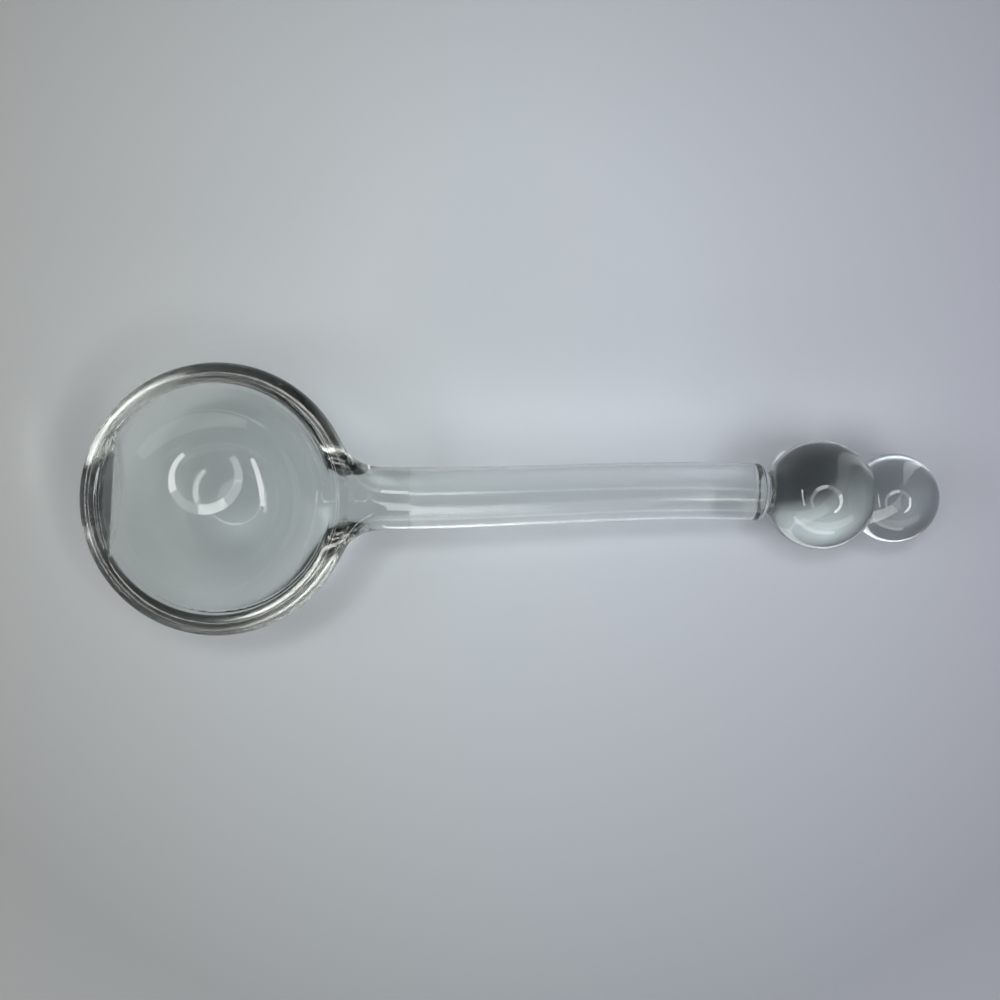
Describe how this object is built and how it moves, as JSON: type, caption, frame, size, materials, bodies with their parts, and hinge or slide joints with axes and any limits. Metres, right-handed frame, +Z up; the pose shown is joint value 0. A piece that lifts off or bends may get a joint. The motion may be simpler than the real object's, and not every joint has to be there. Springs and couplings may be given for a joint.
{
  "type": "salt spoon",
  "caption": "Clear glass salt spoon with a round thick-walled bowl, a bowed rod stem and a ball finial, for serving salt from an open dish.",
  "frame": {"origin": "middle of the flat under the bowl", "axes": "+X along the handle towards the balls, +Z up out of the bowl's mouth, +Y to the left of the handle seen from the bowl"},
  "size_m": [0.0797, 0.0246, 0.0105],
  "materials": {
    "bowl_glass": "fire-polished clear glass",
    "stem_glass": "drawn clear glass",
    "neck_glass": "clear glass drawn in at the weld",
    "large_ball_glass": "fire-polished clear glass",
    "small_ball_glass": "fire-polished clear glass"
  },
  "bodies": {
    "root": {"bowl": "bowl_glass", "stem": "stem_glass", "neck": "neck_glass", "large_ball": "large_ball_glass", "small_ball": "small_ball_glass"}
  },
  "joints": []
}
